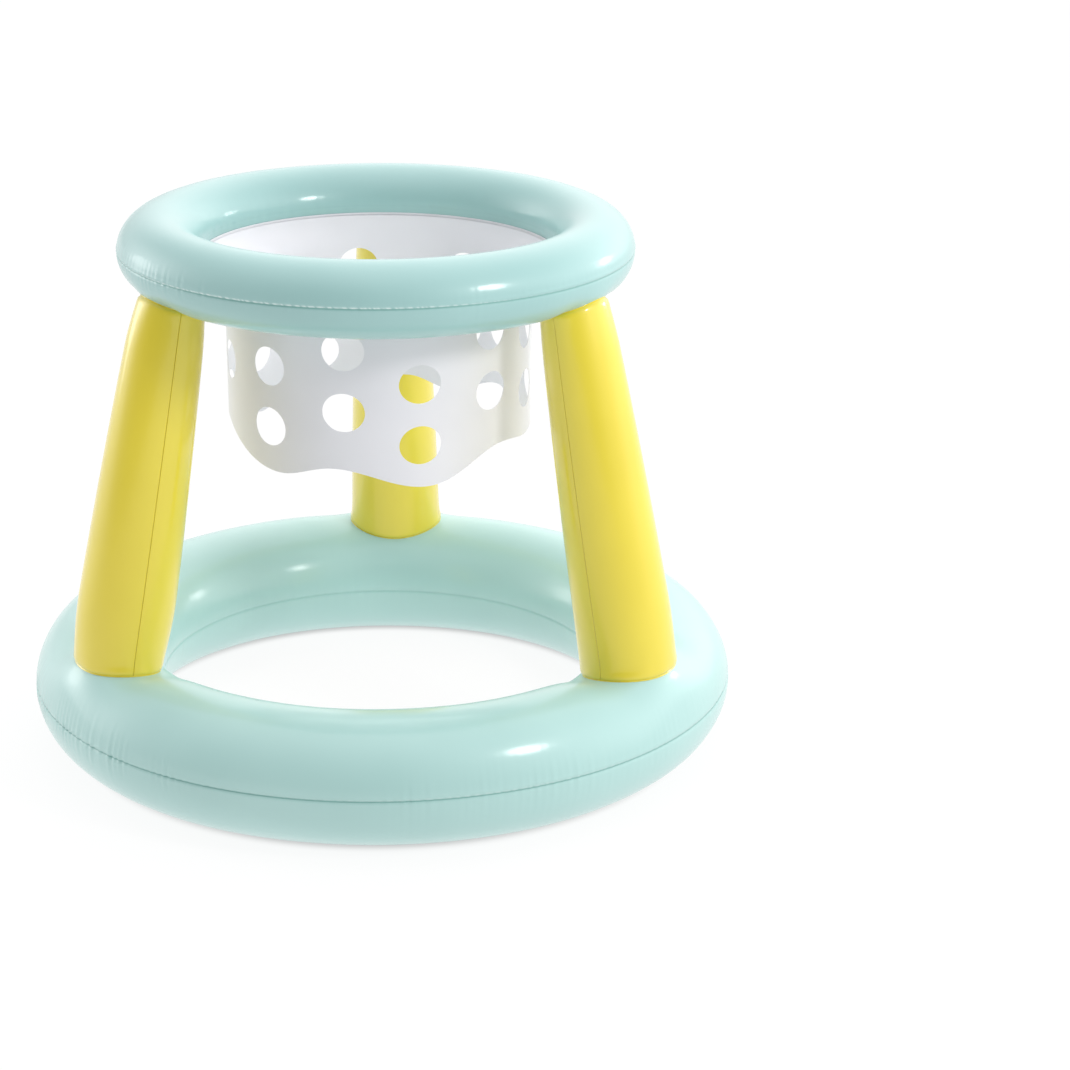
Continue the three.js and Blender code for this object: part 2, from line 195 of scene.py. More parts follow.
def addNode(material, kind, links, **settings):
    # links gives an input socket, by name or number, a value or another node's output
    node = material.node_tree.nodes.new(kind)
    for name, value in settings.items():
        setattr(node, name, value)
    for socket, value in links.items():
        if isinstance(value, bpy.types.NodeSocket):
            material.node_tree.links.new(value, node.inputs[socket])
        else:
            node.inputs[socket].default_value = value
    return node


# Plasticised PVC film, calendered to a gloss and blown up tight. The colour is mixed into the film, so it
# is even, with a slow drift where the film has stretched. Painted shade darkens it along the seams, and
# a painted highlight pales it beside some of them.
baseFilmLook = {
    "name": "glossyAquaPvcFilm",
    "colours": ["#b3dad6", "#acd4d0"],
    # painted shade for the seam lines
    "weldColour": "#6fa7a0",
    # painted highlight for the line beside some seams
    "paleColour": "#eefaf8",
    "roughness": 0.5,
    "specular": 0.45,
    "coat": 0.75,
    "coatRoughness": 0.17,
    "ior": 1.53,
    "driftSize": 140 * mm,
    "grainSize": 1.6 * mm,
    "grainDepth": 0.012 * mm,
}
# another roll of the same film, a little bluer
hoopFilmLook = dict(baseFilmLook, name="glossyAquaPvcHoopFilm", colours=["#a2cbc9", "#9ac4c2"])
legFilmLook = {
    "name": "glossyYellowPvcFilm",
    "colours": ["#efda2e", "#e9d424"],
    # painted shade for the seam lines
    "weldColour": "#a3941c",
    # painted highlight for the line beside some seams
    "paleColour": "#f7f0a8",
    "bounceColour": "#eee29a",
    "roughness": 0.45,
    "specular": 0.6,
    "coat": 1.0,
    "coatRoughness": 0.14,
    "ior": 1.53,
    "driftSize": 110 * mm,
    "grainSize": 1.6 * mm,
    "grainDepth": 0.012 * mm,
}
netFilmLook = {
    "name": "matteWhitePvcFilm",
    "colours": ["#eeedf2", "#e8e7ec"],
    "weldColour": "#cfcfd0",
    "paleColour": "#f2f2f2",
    "roughness": 0.5,
    "specular": 0.5,
    "coat": 0,
    "coatRoughness": 0.2,
    "ior": 1.5,
    "driftSize": 90 * mm,
    "grainSize": 1.1 * mm,
    "grainDepth": 0.02 * mm,
}
valveLook = {
    "name": "mouldedSoftPvc",
    "colours": ["#c9d5d2", "#bfccc9"],
    "weldColour": "#dddddb",
    "paleColour": "#f6f6f4",
    "roughness": 0.38,
    "specular": 0.5,
    "coat": 0,
    "coatRoughness": 0.2,
    "ior": 1.52,
    "driftSize": 9 * mm,
    "grainSize": 0.5 * mm,
    "grainDepth": 0.01 * mm,
}


noiseSpan = (0.3, 0.7)  # nearly all of a noise pattern's values lie in it


def filmMaterial(look):
    # two tones that drift into each other, with the mesh's "weld" line of painted seam shade and its
    # "pale" line of painted highlight laid over them
    material = bpy.data.materials.new(look["name"])
    material.use_nodes = True
    shader = material.node_tree.nodes["Principled BSDF"]
    finish = {
        "Roughness": look["roughness"],
        "IOR": look["ior"],
        "Specular IOR Level": look["specular"],
        "Coat Weight": look["coat"],
        "Coat Roughness": look["coatRoughness"],
        "Coat IOR": look["ior"],
    }
    for socket, value in finish.items():
        shader.inputs[socket].default_value = value
    place = addNode(material, "ShaderNodeTexCoord", {}).outputs["Object"]
    drift = addNode(
        material,
        "ShaderNodeTexNoise",
        {"Vector": place, "Scale": 1 / look["driftSize"], "Detail": 2.0},
    )
    spread = addNode(
        material,
        "ShaderNodeMapRange",
        {"Value": drift.outputs["Fac"], "From Min": noiseSpan[0], "From Max": noiseSpan[1]},
    )
    light, deep = (linearColour(colour) for colour in look["colours"])
    colour = addNode(
        material,
        "ShaderNodeMix",
        {0: spread.outputs["Result"], 6: light, 7: deep},
        data_type="RGBA",
    )
    # painted seam shade, then painted seam highlight, over the film's own colour
    for line in ("weld", "pale"):
        share = addNode(material, "ShaderNodeAttribute", {}, attribute_name=line).outputs["Fac"]
        colour = addNode(
            material,
            "ShaderNodeMix",
            {0: share, 6: colour.outputs[2], 7: linearColour(look[line + "Colour"])},
            data_type="RGBA",
        )
    if "bounceColour" in look:
        # the film throws a paler light on its neighbours than its own colour
        colour = addNode(
            material,
            "ShaderNodeMix",
            {
                0: addNode(material, "ShaderNodeLightPath", {}).outputs["Is Diffuse Ray"],
                6: colour.outputs[2],
                7: linearColour(look["bounceColour"]),
            },
            data_type="RGBA",
        )
    material.node_tree.links.new(colour.outputs[2], shader.inputs["Base Color"])
    grain = addNode(
        material,
        "ShaderNodeTexNoise",
        {"Vector": place, "Scale": 1 / look["grainSize"], "Detail": 3.0},
    )
    relief = addNode(
        material,
        "ShaderNodeBump",
        {"Height": grain.outputs["Fac"], "Distance": look["grainDepth"]},
    )
    material.node_tree.links.new(relief.outputs["Normal"], shader.inputs["Normal"])
    return material


baseFilm = filmMaterial(baseFilmLook)
hoopFilm = filmMaterial(hoopFilmLook)
legFilm = filmMaterial(legFilmLook)
netFilm = filmMaterial(netFilmLook)
valveVinyl = filmMaterial(valveLook)
print("materials made")


# Rings: two sheets of film each, welded along an outer and an inner seam and blown up to an oval tube

baseRing = {
    "name": "base_ring",
    "pathRadius": 273.5 * mm,
    "halfWidth": 61.5 * mm,
    "halfHeight": 63 * mm,
    "lowerHalfHeight": 57.5 * mm,
    "centreHeight": 57 * mm,
    "outerSeamRise": 5.4 * mm,
    "bulges": [(88, 45, 3.0 * mm)],  # turn and spread in degrees, and size
    "sectionSteps": 44,
    "roundSteps": 900,
    "grooveDepth": 1.0 * mm,
    "grooveWidth": 1.5 * mm,
    "innerSeamShare": 0.6,
    "lipHeight": 0.1 * mm,
    "marginLine": 5.2 * mm,
    "marginDepth": 0.12 * mm,
    "puckerDepth": 0.16 * mm,
    "puckerReach": 12 * mm,
    "puckerWaves": (140, 300),
    # where along the ring the seam gets its painted highlight
    "seamHighlights": [(20, 30, 0.35)],  # turn and spread in degrees, and strength
    "puckerPlaces": [(-45, 22, 1.5), (25, 26, 0.9), (120, 40, 1.0), (200, 50, 1.2), (290, 20, 1.0)],
    "swellDepth": 0.12 * mm,
    "swellWaves": (3, 11),
    "seed": 11,
}
hoopRing = {
    "name": "hoop_ring",
    "pathRadius": 203 * mm,
    "halfWidth": 36.5 * mm,
    "halfHeight": 34.5 * mm,
    "lowerHalfHeight": 34.5 * mm,
    "centreHeight": 479.4 * mm,
    "outerSeamRise": 0 * mm,
    "bulges": [(-90, 45, 3.0 * mm)],
    "sectionSteps": 36,
    "roundSteps": 800,
    "grooveDepth": 0.6 * mm,
    "grooveWidth": 1.2 * mm,
    "innerSeamShare": 0.15,
    "lipHeight": 0.35 * mm,
    "marginLine": 4.2 * mm,
    "marginDepth": 0.08 * mm,
    "puckerDepth": 0.12 * mm,
    "puckerReach": 9 * mm,
    "puckerWaves": (110, 240),
    # where along the ring the seam gets its painted highlight
    "seamHighlights": [(-35, 28, 0.8), (5, 22, 0.7)],
    "puckerPlaces": [(-65, 25, 1.5), (-10, 25, 0.5), (150, 45, 1.0), (230, 40, 1.1)],
    "swellDepth": 0.08 * mm,
    "swellWaves": (3, 9),
    "seed": 12,
}
film = {
    "thickness": 0.3 * mm,
    "seamMargin": 4 * mm,
    "bunching": 0.8,
    "marginEdge": 0.985,  # what lies under this share of the tube's radius is the margin inside
    "leastPucker": 0.35,
    "innerPuckerShare": 0.6,
    "swellSlant": 0.6,
    # widths of the painted shade lines along the outer and inner seams
    "outerSeamShadeLine": 0.7 * mm,
    "innerSeamShadeLine": 1 * mm,
    "marginLineWidth": 0.9 * mm,
    # place and width of the painted highlight beside the outer seam
    "paleLineAt": 1.3 * mm,
    "paleLineWidth": 0.6 * mm,
}


def riseShare(ring, heights):
    # -1 at the tube's lowest and 1 at its highest
    rise = heights - ring["centreHeight"]
    return rise / np.where(rise < 0, ring["lowerHalfHeight"], ring["halfHeight"])


def bulgeAt(ring, turn):
    # how far the tube swells outwards there
    total = np.zeros_like(turn)
    for degrees, halfSpread, size in ring["bulges"]:
        total += size * ridge(apart(turn, math.radians(degrees)), math.radians(halfSpread))
    return total


def ringDistance(ring, places):
    # below 1 inside the tube, 1 on its film and above 1 outside
    bulge = bulgeAt(ring, frontTurn(places)) / 2
    radius = np.hypot(places[:, 0], places[:, 1])
    across = (radius - ring["pathRadius"] - bulge) / (ring["halfWidth"] + bulge)
    return np.hypot(across, riseShare(ring, places[:, 2]))


def frontTurn(places):
    # 0 at the front and a quarter turn at the right
    return np.arctan2(places[:, 0], -places[:, 1])


def bunched(shares):
    # more of the steps near both ends, where the seams are
    return shares - film["bunching"] * np.sin(fullTurn * shares) / fullTurn


def puckerStrength(ring, turn):
    strength = np.full_like(turn, film["leastPucker"])
    for degrees, halfSpread, peak in ring["puckerPlaces"]:
        strength += peak * ridge(apart(turn, math.radians(degrees)), math.radians(halfSpread))
    return strength


def moveRingFilm(ring, piece, isUpper):
    # swells the tube, sinks the seams in, gathers the film along them and draws it to the legs
    places = readPlaces(piece)
    radius = np.hypot(places[:, 0], places[:, 1])
    across = (radius - ring["pathRadius"]) / ring["halfWidth"]
    rise = riseShare(ring, places[:, 2])
    onFilm = np.hypot(across, rise) > film["marginEdge"]
    angle = np.arctan2(rise, across)
    turn = frontTurn(places)
    tube = (ring["halfWidth"] + ring["halfHeight"]) / 2
    toOuter = tube * apart(angle, math.asin(ring["outerSeamRise"] / ring["halfHeight"]))
    toInner = tube * apart(angle, halfTurn)
    inner = ring["innerSeamShare"]
    grooves = ridge(toOuter, ring["grooveWidth"]) + inner * ridge(toInner, ring["grooveWidth"])
    out = -ring["grooveDepth"] * grooves
    if isUpper:
        out += ring["lipHeight"] * ridge(toOuter - 2 * ring["grooveWidth"], ring["grooveWidth"])
    else:
        broken = np.clip(0.5 + ripple(turn, ring["seed"] + 3, 60, 200), 0, 1.5)
        line = ridge(toOuter - ring["marginLine"], film["marginLineWidth"])
        out -= ring["marginDepth"] * line * broken * np.clip(puckerStrength(ring, turn), 0, 1)
    gathers = ripple(turn, ring["seed"], *ring["puckerWaves"]) * puckerStrength(ring, turn)
    innerGathers = ripple(turn, ring["seed"] + 1, *(n // 2 for n in ring["puckerWaves"]))
    out += ring["puckerDepth"] * gathers * np.exp(-toOuter / ring["puckerReach"])
    innerDepth = film["innerPuckerShare"] * ring["puckerDepth"]
    out += innerDepth * innerGathers * np.exp(-toInner / ring["puckerReach"])
    slanted = turn + film["swellSlant"] * np.sin(angle)
    out += ring["swellDepth"] * ripple(slanted, ring["seed"] + 2, *ring["swellWaves"], 8)
    halfHeight = np.where(rise < 0, ring["lowerHalfHeight"], ring["halfHeight"])
    normal = np.stack([np.cos(angle) / ring["halfWidth"], np.sin(angle) / halfHeight], axis=1)
    normal /= np.linalg.norm(normal, axis=1)[:, None]
    out = np.where(onFilm, out, 0)
    outwards = out * normal[:, 0] + bulgeAt(ring, turn) / 2 * (1 + across)
    places[:, 0] += outwards * places[:, 0] / radius
    places[:, 1] += outwards * places[:, 1] / radius
    places[:, 2] += out * normal[:, 1]
    if isUpper == (ring is baseRing):
        # the film is drawn to the welds on the legs' side of the ring, but its seam keeps its place
        fromSeam = np.abs(rise - ring["outerSeamRise"] / ring["halfHeight"]) / leg["seamGuard"]
        fromSeam = np.clip(fromSeam, 0, 1)
        fromSeam = fromSeam ** 2 * (3 - 2 * fromSeam)
        for side in leg["turns"]:
            matrix = legFrame(side)
            local = placed(matrix.inverted(), places)
            near = np.where(onFilm & (np.hypot(local[:, 0], local[:, 1]) < leg["drawReach"]))[0]
            lift = weldLift(ring, side, local[near, 0], local[near, 1]) * fromSeam[near]
            places[near] += lift[:, None] * np.array(matrix.col[2].to_3d())
    places[:, 2] = np.maximum(places[:, 2], 0)
    writePlaces(piece, places)
    # painted shade along the outer seam, and fainter along the inner seam, where the grooves lie
    innerSeamShade = 0.5 * inner * ridge(toInner, film["innerSeamShadeLine"])
    writeAttribute(piece, "weld", np.maximum(ridge(toOuter, film["outerSeamShadeLine"]), innerSeamShade))
    if isUpper:
        # painted highlight: a pale line beside the weld's edge, where it catches the light
        broken = np.clip(0.6 + 0.6 * ripple(turn, ring["seed"] + 4, 150, 400), 0, 1)
        highlighted = np.zeros_like(turn)
        for degrees, halfSpread, share in ring["seamHighlights"]:
            highlighted += share * ridge(apart(turn, math.radians(degrees)), math.radians(halfSpread))
        line = ridge(toOuter - film["paleLineAt"], film["paleLineWidth"])
        writeAttribute(piece, "pale", np.clip(highlighted, 0, 1) * broken * line)


def ringSheet(ring, isUpper):
    # one half of a circle, drawn to the oval, with a weld margin turned in at each end, spun round the axis
    side = 1 if isUpper else -1
    steps = ring["sectionSteps"]
    bpy.ops.object.select_all(action="DESELECT")
    bpy.ops.mesh.primitive_circle_add(vertices=2 * steps, radius=1, rotation=(quarterTurn, 0, 0))
    sheet = bpy.context.object
    applyPlace(sheet)
    editPicked(sheet, "VERT", lambda vertex: side * vertex.co.z < -1e-4)
    bpy.ops.mesh.delete(type="VERT")
    endEdit()
    places = readPlaces(sheet)
    shares = np.clip(np.arctan2(side * places[:, 2], places[:, 0]) / halfTurn, 0, 1)
    shares[places[:, 0] < -0.9999] = 1
    seamAngle = math.asin(ring["outerSeamRise"] / ring["halfHeight"])
    angles = seamAngle + bunched(shares) * (side * halfTurn - seamAngle)
    places[:, 0] = ring["pathRadius"] + ring["halfWidth"] * np.cos(angles)
    halfHeight = np.where(angles < 0, ring["lowerHalfHeight"], ring["halfHeight"])
    places[:, 2] = ring["centreHeight"] + halfHeight * np.sin(angles)
    writePlaces(sheet, places)
    for end, step in ((0, -film["seamMargin"]), (1, film["seamMargin"])):
        def isAtEnd(vertex):
            return vertex.index < len(shares) and abs(shares[vertex.index] - end) < 1e-4

        editPicked(sheet, "VERT", isAtEnd)
        bpy.ops.mesh.extrude_vertices_move(TRANSFORM_OT_translate={"value": (step, 0, 0)})
        endEdit()
    steps = ring["roundSteps"]
    spin = {"angle": fullTurn, "steps": steps, "render_steps": steps, "use_merge_vertices": True}
    applyModifier(sheet, "SCREW", **spin)
    mergeDoubles(sheet)
    faceOutwards(sheet)
    path = ring["pathRadius"]

    def pointsOut(place):
        level = Vector((place.x, place.y, 0))
        return place - level * (path / level.length) - Vector((0, 0, ring["centreHeight"]))

    turnOverIf(sheet, pointsOut)
    moveRingFilm(ring, sheet, isUpper)
    return sheet


punching = {"depth": 20 * mm, "searchRadii": 3, "rimRadii": 1.8}


def cutHole(piece, centre, axis, radius):
    # a round hole through a film: the faces inside go, and their rim is drawn to the circle
    def away(place):
        offset = place - centre
        return offset - axis * offset.dot(axis)

    def isNear(place):
        return abs((place - centre).dot(axis)) < punching["depth"]

    deleteFaces(piece, lambda place: isNear(place) and away(place).length < radius)
    used = {}
    for face in piece.data.polygons:
        if isNear(face.center) and away(face.center).length < punching["searchRadii"] * radius:
            for edge in face.edge_keys:
                used[edge] = used.get(edge, 0) + 1
    for edge in (edge for edge, count in used.items() if count == 1):
        for index in edge:
            vertex = piece.data.vertices[index]
            flat = away(vertex.co)
            if flat.length < punching["rimRadii"] * radius:
                vertex.co = vertex.co + flat.normalized() * (radius - flat.length)


def thicken(piece, thickness):
    applyModifier(piece, "SOLIDIFY", thickness=thickness, offset=-1, use_even_offset=True)


# Legs: a tapered tube each, leaning in, of an outer and an inner panel. Each end is welded to its ring in
# an oval that is drawn in across the ring and spread along it.

leg = {
    "turns": {"left": 210, "right": 330, "rear": 90},
    "footRadius": 275.8 * mm,
    "footHeight": 108.8 * mm,
    "headRadius": 209.6 * mm,
    "headHeight": 452.8 * mm,
    "footWidth": 46.4 * mm,
    "headWidth": 32.9 * mm,
    "middleSwell": 1.75 * mm,
    # how far each end is drawn in, and how much more of it on the outer side
    "footNecks": {"left": (7.2 * mm, -0.05), "right": (2 * mm, 1.4), "rear": (10 * mm, 0.6)},
    "headNecks": {"left": (3.6 * mm, 0.27), "right": (2.6 * mm, 0.3), "rear": (3 * mm, 0.3)},
    "footNeckLength": 66 * mm,
    "headNeckLength": 46 * mm,
    "neckFade": 1.7,
    "footFlare": 3.2 * mm,
    "headFlare": 1.2 * mm,
    "flareLength": 5.5 * mm,
    "endCurl": 2.4 * mm,
    "endCurlLength": 6 * mm,
    "seamTurn": math.radians(-6),
    "roundSteps": 100,
    "lengthSteps": 90,
    "rowBunching": 0.6,
    "grooveDepth": 0.6 * mm,
    "grooveWidth": 1.1 * mm,
    "gatherDepth": 0.2 * mm,
    "gatherReach": 15 * mm,
    "gatherStart": 4 * mm,
    "headGatherShare": 0.8,
    "seat": 0.55 * mm,
    "seeds": {"left": 31, "right": 32, "rear": 33},
    # how strong the painted shade line in each seam is, and the painted highlight beside it, where the
    # light rakes along it
    "seamLines": {"left": (0.55, 0), "right": (0.25, 0.75), "rear": (0.55, 0)},
    "darkLineWidth": 0.6 * mm,
    "paleLineAt": 1.1 * mm,
    "paleLineWidth": 0.7 * mm,
    "drawReach": 120 * mm,
    "seamGuard": 0.4,
    "searchIn": 50 * mm,
    "searchOut": 60 * mm,
}
# how much of the saddle shape each weld keeps, how far it sits off the ring's mean height, and how far
# the ring's film is drawn with it
weld = {
    "base_ring": {
        "saddles": {"left": 0.3, "right": 0.25, "rear": 0.4},
        "lift": 1 * mm,
        "outerReach": 26 * mm,
        "innerReach": 14 * mm,
    },
    "hoop_ring": {
        "saddles": {"left": 0.45, "right": 0.45, "rear": 0.45},
        "lift": 0 * mm,
        "outerReach": 14 * mm,
        "innerReach": 9 * mm,
    },
}


def legFrame(side):
    # X points away from the hoop's axis, Y round the ring and Z up the leg
    foot = Vector((leg["footRadius"], 0, leg["footHeight"]))
    head = Vector((leg["headRadius"], 0, leg["headHeight"]))
    up = (head - foot).normalized()
    along = Vector((0, 1, 0))
    away = along.cross(up)
    local = Matrix((away, along, up)).transposed().to_4x4()
    local.translation = foot
    return Matrix.Rotation(math.radians(leg["turns"][side]), 4, "Z") @ local


legLength = math.hypot(leg["headRadius"] - leg["footRadius"], leg["headHeight"] - leg["footHeight"])


def placed(matrix, places):
    turned = np.array(matrix.to_3x3())
    return places @ turned.T + np.array(matrix.translation)


def tubeWidth(share):
    straight = leg["footWidth"] + (leg["headWidth"] - leg["footWidth"]) * share
    return straight + 4 * leg["middleSwell"] * share * (1 - share)


def endShape(side, angles, toEnd, end):
    # how much a leg's end is drawn in, by the distance up to it
    neck, lean = leg[end + "Necks"][side]
    drawn = neck * np.clip(1 - toEnd / leg[end + "NeckLength"], 0, 1) ** leg["neckFade"]
    drawn = drawn * np.cos(angles) ** 2 * (1 + lean * np.cos(angles))
    flare = np.exp(-np.maximum(toEnd, 0) / leg["flareLength"])
    drawn = drawn - leg[end + "Flare"] * np.sin(angles) ** 2 * flare
    rest = np.clip(1 - toEnd / leg["endCurlLength"], 0, 1)
    return drawn + leg["endCurl"] * (1 - np.sqrt(1 - rest ** 2))


def weldReach(ring, side, angles):
    # the weld's own oval round the leg's axis
    share, end = (0, "foot") if ring is baseRing else (1, "head")
    return tubeWidth(share) - endShape(side, angles, 0, end)


searchSteps = 40


def filmBetween(ring, matrix, x, y, deepest, highest):
    # where the ring's film lies over X and Y of a piece's own frame, by halving the span again and again
    inside, outside = np.full_like(x, deepest), np.full_like(x, highest)
    for _ in range(searchSteps):
        middle = (inside + outside) / 2
        isInside = ringDistance(ring, placed(matrix, np.stack([x, y, middle], axis=1))) < 1
        inside = np.where(isInside, middle, inside)
        outside = np.where(isInside, outside, middle)
    return (inside + outside) / 2


def filmHeight(ring, side, x, y):
    # the round tube's own film, up the leg's axis
    facing = 1 if ring is baseRing else -1
    start = 0 if ring is baseRing else legLength
    deepest, highest = start - facing * leg["searchIn"], start + facing * leg["searchOut"]
    return filmBetween(ring, legFrame(side), x, y, deepest, highest)


def weldDraw(ring, side, angles):
    # how far the film is drawn along the leg at its weld
    def height(turns):
        reach = weldReach(ring, side, turns)
        return filmHeight(ring, side, reach * np.cos(turns), reach * np.sin(turns))

    mean = np.mean(height(np.linspace(0, fullTurn, 72, endpoint=False)))
    own = weld[ring["name"]]
    return (1 - own["saddles"][side]) * (mean - height(angles)) + own["lift"]


def weldLift(ring, side, x, y):
    # the same for any place on the film, fading away from the weld
    angles = np.arctan2(y, x)
    off = np.hypot(x, y) - weldReach(ring, side, angles)
    own = weld[ring["name"]]
    fade = ridge(off, np.where(off > 0, own["outerReach"], own["innerReach"]))
    return weldDraw(ring, side, angles) * fade


def weldHeight(ring, side, angles):
    reach = weldReach(ring, side, angles)
    height = filmHeight(ring, side, reach * np.cos(angles), reach * np.sin(angles))
    return height + weldDraw(ring, side, angles)


def legPanel(side, isOuter):
    # in the leg's own frame
    bpy.ops.object.select_all(action="DESELECT")
    bpy.ops.mesh.primitive_cylinder_add(
        vertices=leg["roundSteps"],
        radius=1,
        depth=2,
        end_fill_type="NOTHING",
        rotation=(0, 0, leg["seamTurn"]),
    )
    panel = bpy.context.object
    applyPlace(panel)
    editPicked(panel, "EDGE", lambda edge: isUpright(panel, edge, 1))
    bpy.ops.mesh.subdivide(number_cuts=leg["lengthSteps"] - 1)
    endEdit()
    facing = 1 if isOuter else -1
    outward = Vector((math.cos(leg["seamTurn"]), math.sin(leg["seamTurn"]), 0)) * facing
    deleteFaces(panel, lambda place: place.dot(outward) < 0)
    places = readPlaces(panel)
    start = leg["seamTurn"] - facing * quarterTurn
    slack = 0.01  # keeps the first seam from counting as a full turn
    shares = ((np.arctan2(places[:, 1], places[:, 0]) - start + slack) % fullTurn - slack) / halfTurn
    angles = start + bunched(np.clip(shares, 0, 1)) * halfTurn
    rows = (places[:, 2] + 1) / 2
    rows = rows - leg["rowBunching"] * np.sin(fullTurn * rows) / fullTurn
    foot = weldHeight(baseRing, side, angles) + leg["seat"]
    head = weldHeight(hoopRing, side, angles) - leg["seat"]
    height = foot + (head - foot) * rows
    toFoot = height - foot
    toHead = head - height
    width = tubeWidth(height / legLength)
    width -= endShape(side, angles, toFoot, "foot") + endShape(side, angles, toHead, "head")
    toSeam = width * halfTurn * np.minimum(shares, 1 - shares)
    width -= leg["grooveDepth"] * ridge(toSeam, leg["grooveWidth"])
    fromEnd = np.zeros_like(height)
    for toEnd, share in ((toFoot, 1), (toHead, leg["headGatherShare"])):
        fromEnd += share * np.exp(-toEnd / leg["gatherReach"]) * np.clip(toEnd / leg["gatherStart"], 0, 1)
    width += leg["gatherDepth"] * ripple(angles, leg["seeds"][side], 7, 24) * fromEnd
    writePlaces(panel, np.stack([width * np.cos(angles), width * np.sin(angles), height], axis=1))
    # painted shade in the seam, and a painted highlight beside it
    dark, pale = leg["seamLines"][side]
    writeAttribute(panel, "weld", dark * ridge(toSeam, leg["darkLineWidth"]))
    writeAttribute(panel, "pale", pale * ridge(toSeam - leg["paleLineAt"], leg["paleLineWidth"]))
    mergeDoubles(panel)
    faceOutwards(panel)
    turnOverIf(panel, lambda place: Vector((place.x, place.y, 0)))
    thicken(panel, film["thickness"])
    shadeSmooth(panel)
    return panel


# Collars: a thin saddle of film under each leg's end, pressed flat on the ring, of which a narrow lip shows

collar = {
    "thickness": 0.8 * mm,
    "sunk": 0.15 * mm,
    "innerLap": 3.5 * mm,
    "lip": 0.7 * mm,
    "edge": 0.2 * mm,
    "roundSteps": 120,
}


def weldCollar(ring, side):
    # a flat washer of four bands round the leg's end, laid on the ring's film
    bpy.ops.object.select_all(action="DESELECT")
    bpy.ops.mesh.primitive_circle_add(vertices=collar["roundSteps"], radius=1)
    washer = bpy.context.object
    for grown in (1.25, 1.5, 1.75, 2):
        rim = max(vertex.co.length for vertex in washer.data.vertices)
        editPicked(washer, "VERT", lambda vertex: vertex.co.length > rim - 1e-6)
        factor = grown / rim
        bpy.ops.mesh.extrude_region_move()
        bpy.ops.transform.resize(value=(factor, factor, 1), center_override=(0, 0, 0))
        endEdit()
    places = readPlaces(washer)
    angles = np.arctan2(places[:, 1], places[:, 0])
    grown = np.hypot(places[:, 0], places[:, 1]) - 1
    reach = weldReach(ring, side, angles) - collar["innerLap"]
    reach = reach + (collar["innerLap"] + collar["lip"]) * grown
    x, y = reach * np.cos(angles), reach * np.sin(angles)
    facing = 1 if ring is baseRing else -1
    height = filmHeight(ring, side, x, y) + weldLift(ring, side, x, y)
    height += facing * (collar["thickness"] - collar["sunk"])
    writePlaces(washer, np.stack([x, y, height], axis=1))
    faceOutwards(washer)
    turnOverIf(washer, lambda place: Vector((0, 0, facing)))
    thicken(washer, collar["thickness"])
    roundEdges(washer, collar["edge"])
    return washer


# Net: one band of white film, cut flat with its wavy hem, punched, rolled up and welded in

net = {
    "topHeight": 470.2 * mm,
    "waistHeight": 434.8 * mm,
    "topRadius": 165.41 * mm,
    "halfWidth": 143.5 * mm,
    "halfDepth": 163 * mm,
    "thickness": 0.4 * mm,
    "holeHalfWidth": 19.8 * mm,
    "holeHalfHeight": 17.8 * mm,
    "rowPitch": 56.6 * mm,
    "lowestHem": 290.8 * mm,
    "meanDrop": 164 * mm,
    "lengthSteps": 320,
    "heightSteps": 42,
    "holeSides": 64,
    "waveDepth": 0.9 * mm,
    "seed": 51,
}
# each hole column's place, as a share of a turn from the front, and its lower hole's height in millimetres
netColumns = [
    (-0.195, 383.8),
    (-0.113, 339.5),
    (-0.0268, 363.7),
    (0.0506, 332.5),
    (0.1346, 370.5),
    (0.206, 355.2),
    (0.28, 339.8),
    (0.352, 370.8),
    (0.409, 365),
    (0.47, 335.8),
    (0.533, 363.8),
    (0.577, 335.8),
    (0.665, 350.8),
    (0.737, 335.8),
]
# the hem's high and low points, in the same way
netHem = [
    (-0.215, 323.8),
    (-0.103, 297.8),
    (-0.036, 310.6),
    (0.057, 293.2),
    (0.15, 317.5),
    (0.21, 310.8),
    (0.272, 315.8),
    (0.31, 299.8),
    (0.36, 315.8),
    (0.43, 297.8),
    (0.478, 308.3),
    (0.52, 303.8),
    (0.577, 295.8),
    (0.61, 306.8),
    (0.66, 290.8),
    (0.7, 309.8),
    (0.75, 321.8),
]


def hemHeight(turnShare):
    # a smooth wave through the hem's points
    first = netHem[0][0]
    place = first + (turnShare - first) % 1
    points = netHem + [(first + 1, netHem[0][1])]
    for (fromPlace, fromHeight), (toPlace, toHeight) in zip(points, points[1:]):
        if fromPlace <= place <= toPlace:
            blend = (1 - math.cos((place - fromPlace) / (toPlace - fromPlace) * math.pi)) / 2
            return (fromHeight + (toHeight - fromHeight) * blend) * mm


# the length of the net's oval from its back seam, at even steps of a turn
turnTable = np.linspace(-0.5, 0.5, 2001)
ovalX = net["halfWidth"] * np.sin(turnTable * fullTurn)
ovalY = -net["halfDepth"] * np.cos(turnTable * fullTurn)
ovalSteps = np.diff(np.stack([ovalX, ovalY], axis=1), axis=0)
lengthTable = np.concatenate([[0], np.cumsum(np.linalg.norm(ovalSteps, axis=1))])
netLength = lengthTable[-1]


def lengthAt(turnShare):
    return np.interp((turnShare + 0.5) % 1 - 0.5, turnTable, lengthTable)


def netOutline(turnShare, height, outset):
    angle = turnShare * fullTurn
    drop = np.clip((net["topHeight"] - height) / (net["topHeight"] - net["waistHeight"]), 0, 1)
    drop = drop ** 2 * (3 - 2 * drop)
    halfWidth = net["topRadius"] + (net["halfWidth"] - net["topRadius"]) * drop + outset
    halfDepth = net["topRadius"] + (net["halfDepth"] - net["topRadius"]) * drop + outset
    return np.stack([halfWidth * np.sin(angle), -halfDepth * np.cos(angle), height], axis=1)


def netSway(turnShare, height):
    # slow waves in the film that grow towards the hem
    slack = np.clip((net["waistHeight"] - height) / (net["waistHeight"] - net["lowestHem"]), 0, 1)
    return net["waveDepth"] * slack * ripple(turnShare * fullTurn, net["seed"], 3, 9, 6)


